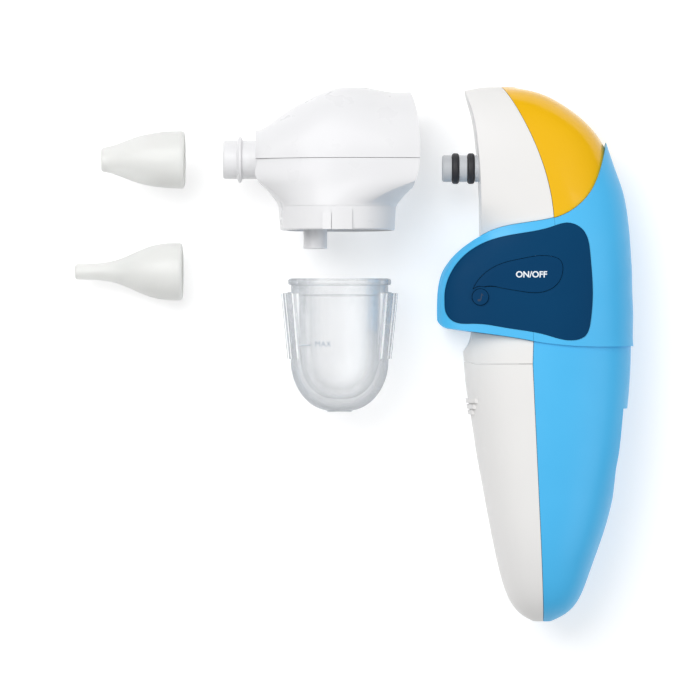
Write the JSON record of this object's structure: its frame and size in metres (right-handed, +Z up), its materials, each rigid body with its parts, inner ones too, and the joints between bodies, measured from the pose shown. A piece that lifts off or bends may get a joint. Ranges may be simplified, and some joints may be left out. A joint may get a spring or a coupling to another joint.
{
  "type": "nasal aspirator",
  "caption": "Battery nasal aspirator for babies, laid out in pieces: curved handle with keys, round-skirted suction head, clear collection cup, wide and narrow soft tips.",
  "frame": {"origin": "middle of the laid-out set's footprint, on the surface that it lies on", "axes": "+X from the nozzle to the back of the handle and +Y from the handle's foot to its top, +Z straight up from the surface"},
  "size_m": [0.1775, 0.1691, 0.0387],
  "materials": {
    "white_shell": "satin",
    "yellow_shell": "gloss",
    "blue_shell": "satin",
    "soft_panel": "matte",
    "grey_plastic": "satin",
    "black_rubber": "matte",
    "silicone": "satin",
    "black_plastic": "matte",
    "steel": "satin",
    "board": "satin",
    "cell_wrap": "satin",
    "nickel": "satin",
    "white_gloss": "gloss",
    "clear_cup": "polished"
  },
  "bodies": {
    "handle": {"front_shell": "white_shell", "top_cap": "yellow_shell", "rear_shell": "blue_shell", "grip_saddle": "blue_shell", "keypad_panel": "soft_panel", "finger_pad": "soft_panel", "spigot": "grey_plastic", "o_rings": "black_rubber", "suction_hose": "silicone", "pump_housing": "grey_plastic", "valve_plate": "black_plastic", "motor_bracket": "black_plastic", "motor_can": "steel", "circuit_board": "board", "tact_switches": "black_plastic", "buzzer": "black_plastic", "battery_tray": "black_plastic", "tray_screws": "steel", "battery_cells": "cell_wrap", "contact_plates": "nickel", "battery_springs": "nickel"},
    "on_off_key": {"on_off_button": "soft_panel"},
    "melody_key": {"melody_button": "soft_panel"},
    "cover": {"battery_cover": "white_shell"},
    "rotor": {"motor_rotor": "steel", "eccentric": "black_plastic"},
    "diaphragm": {"pump_diaphragm": "black_rubber"},
    "head": {"head_upper_shell": "white_gloss", "head_lower_shell": "white_gloss", "nozzle_tube": "white_gloss", "outlet_tube": "white_gloss", "socket_sleeve": "grey_plastic", "suction_duct": "silicone", "cup_seal": "silicone"},
    "cup": {"collection_cup": "clear_cup"},
    "wide_tip_body": {"wide_tip": "silicone"},
    "narrow_tip_body": {"narrow_tip": "silicone"}
  },
  "joints": [
    {"name": "head_dock", "type": "slide", "parent": "handle", "child": "head", "axis": [1, 0, 0], "range_m": [0, 0.017]},
    {"name": "cup_dock", "type": "slide", "parent": "head", "child": "cup", "axis": [0, 1, 0], "range_m": [0, 0.0194]},
    {"name": "wide_tip_dock", "type": "slide", "parent": "head", "child": "wide_tip_body", "axis": [1, 0, 0], "range_m": [0, 0.022]},
    {"name": "narrow_tip_lift", "type": "slide", "parent": "handle", "child": "narrow_tip_body", "axis": [0, 0, 1], "range_m": [0, 0.045]},
    {"name": "on_off_press", "type": "slide", "parent": "handle", "child": "on_off_key", "axis": [0, 0, -1], "range_m": [0, 0.0008], "stiffness_N_per_m": 1500},
    {"name": "melody_press", "type": "slide", "parent": "handle", "child": "melody_key", "axis": [0, 0, -1], "range_m": [0, 0.0008], "stiffness_N_per_m": 1200},
    {"name": "battery_cover_slide", "type": "slide", "parent": "handle", "child": "cover", "axis": [0.0469, -0.9989, 0], "range_m": [0, 0.03]},
    {"name": "rotor_spin", "type": "hinge", "parent": "handle", "child": "rotor", "pos_m": [0.068, 0.01, 0.01765], "axis": [0, 1, 0], "continuous": true},
    {"name": "diaphragm_stroke", "type": "slide", "parent": "handle", "child": "diaphragm", "axis": [0, 1, 0], "range_m": [-0.0006, 0.0006], "stiffness_N_per_m": 800}
  ]
}
